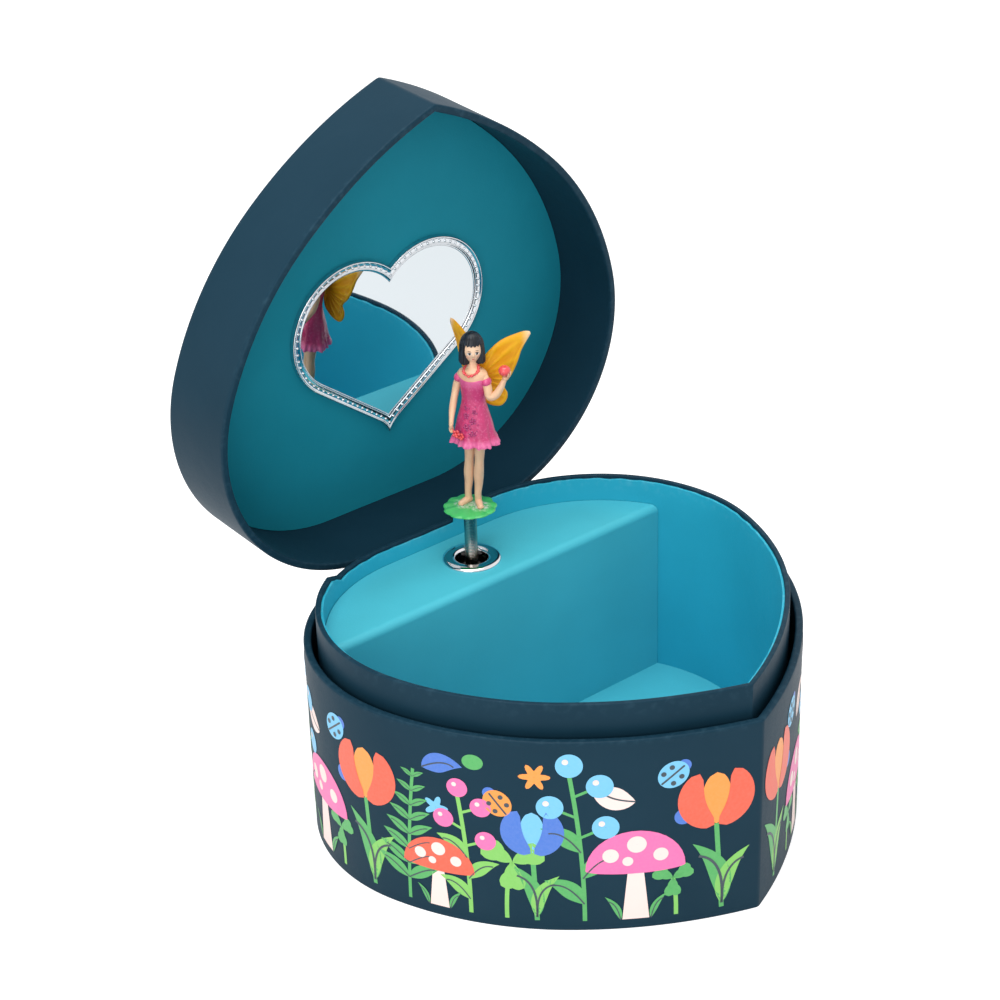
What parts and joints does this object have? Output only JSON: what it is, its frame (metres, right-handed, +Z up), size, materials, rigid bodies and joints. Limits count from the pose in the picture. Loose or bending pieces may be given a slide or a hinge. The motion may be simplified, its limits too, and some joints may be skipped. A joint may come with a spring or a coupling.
{
  "type": "wind-up music box",
  "caption": "Leaf-shaped card music box with a hinged mirror lid, a lined tray and a fairy that turns on a spring as its wound movement plays.",
  "frame": {"origin": "middle of the base footprint, on the surface that the box stands on", "axes": "+Z up, +Y to the hinge at the back, +X to the right of the front tip"},
  "size_m": [0.16, 0.1785, 0.2187],
  "materials": {
    "box_paper": "printed paper with a satin coating over card, dark blue",
    "board": "grey board",
    "teal_paper": "soft teal covering paper, matt",
    "deck_paper": "soft teal covering paper, matt",
    "chrome": "polished",
    "spring_steel": "close-wound plated wire",
    "zinc": "die cast, satin",
    "brass": "satin",
    "steel": "satin",
    "mirror": "silvered acrylic sheet",
    "frame_plastic": "plated plastic with a beaded edge",
    "tape": "foam tape",
    "leaf_green": "painted resin",
    "skin": "painted resin",
    "dress_pink": "pearl paint on resin",
    "hair_black": "glossy paint on resin",
    "wing_yellow": "painted resin",
    "fruit_red": "painted resin"
  },
  "bodies": {
    "base": {"base_board": "box_paper", "base_wall": "box_paper", "collar_wall": "box_paper", "wall_spacer": "board", "tray_floor": "board", "wall_lining": "teal_paper", "floor_lining": "teal_paper", "compartment_cover": "deck_paper", "spindle_ring": "chrome", "hinge_leaf_base": "box_paper", "key_eyelet": "chrome", "movement_screws": "steel", "bedplate": "zinc", "spring_housing": "zinc", "mainspring": "spring_steel", "governor_frame": "brass", "lower_bracket": "zinc", "upper_bracket": "zinc", "comb": "steel", "comb_screws": "steel"},
    "lid": {"lid_wall": "box_paper", "lid_panel": "box_paper", "lid_lining": "teal_paper", "mirror_frame": "frame_plastic", "mirror_glass": "mirror", "mirror_tape": "tape", "hinge_leaf_lid": "box_paper"},
    "key": {"winding_key": "chrome", "key_arbor": "steel", "great_wheel": "brass"},
    "cylinder": {"cylinder_arbor": "steel", "cylinder_pinion": "steel", "cylinder_gear": "brass", "music_cylinder": "brass", "spindle_cup": "brass", "spring_lower": "spring_steel"},
    "second_wheel": {"second_arbor": "steel", "second_pinion": "steel", "worm_wheel": "brass"},
    "governor": {"worm": "steel", "fan": "brass"},
    "fold": {"spring_bend": "spring_steel"},
    "figure": {"spring_upper": "spring_steel", "leaf_stand": "leaf_green", "right_leg": "skin", "left_leg": "skin", "dress": "dress_pink", "torso": "skin", "right_arm": "skin", "left_arm": "skin", "head": "skin", "hair": "hair_black", "right_wing": "wing_yellow", "left_wing": "wing_yellow", "fruit": "fruit_red", "flower": "fruit_red"}
  },
  "joints": [
    {"name": "lid_hinge", "type": "hinge", "parent": "base", "child": "lid", "pos_m": [0, 0.0755, 0.0661], "axis": [1, 0, 0], "range_deg": [0, 85]},
    {"name": "key_spin", "type": "hinge", "parent": "base", "child": "key", "pos_m": [0, 0.0755, 0.0276], "axis": [0, 1, 0], "continuous": true},
    {"name": "cylinder_spin", "type": "hinge", "parent": "base", "child": "cylinder", "pos_m": [0, 0.05348, 0.0615], "axis": [0, 0, 1], "continuous": true},
    {"name": "second_spin", "type": "hinge", "parent": "base", "child": "second_wheel", "pos_m": [-0.0144, 0.05348, 0.0407], "axis": [0, 0, 1], "continuous": true},
    {"name": "governor_spin", "type": "hinge", "parent": "base", "child": "governor", "pos_m": [-0.0204, 0.05348, 0.0349], "axis": [0, 1, 0], "continuous": true},
    {"name": "figure_fold", "type": "hinge", "parent": "base", "child": "fold", "pos_m": [0, 0.05139, 0.0766], "axis": [1, 0, 0], "range_deg": [0, 100]},
    {"name": "figure_spin", "type": "hinge", "parent": "fold", "child": "figure", "pos_m": [0, 0.05348, 0.0842], "axis": [0, 0, 1], "continuous": true}
  ],
  "couplings": [
    {"joint": "cylinder_spin", "follows": "key_spin", "ratio": -3},
    {"joint": "second_spin", "follows": "key_spin", "ratio": 9},
    {"joint": "governor_spin", "follows": "key_spin", "ratio": 108},
    {"joint": "figure_spin", "follows": "key_spin", "ratio": -3},
    {"joint": "figure_fold", "follows": "lid_hinge", "ratio": 1.1765}
  ]
}
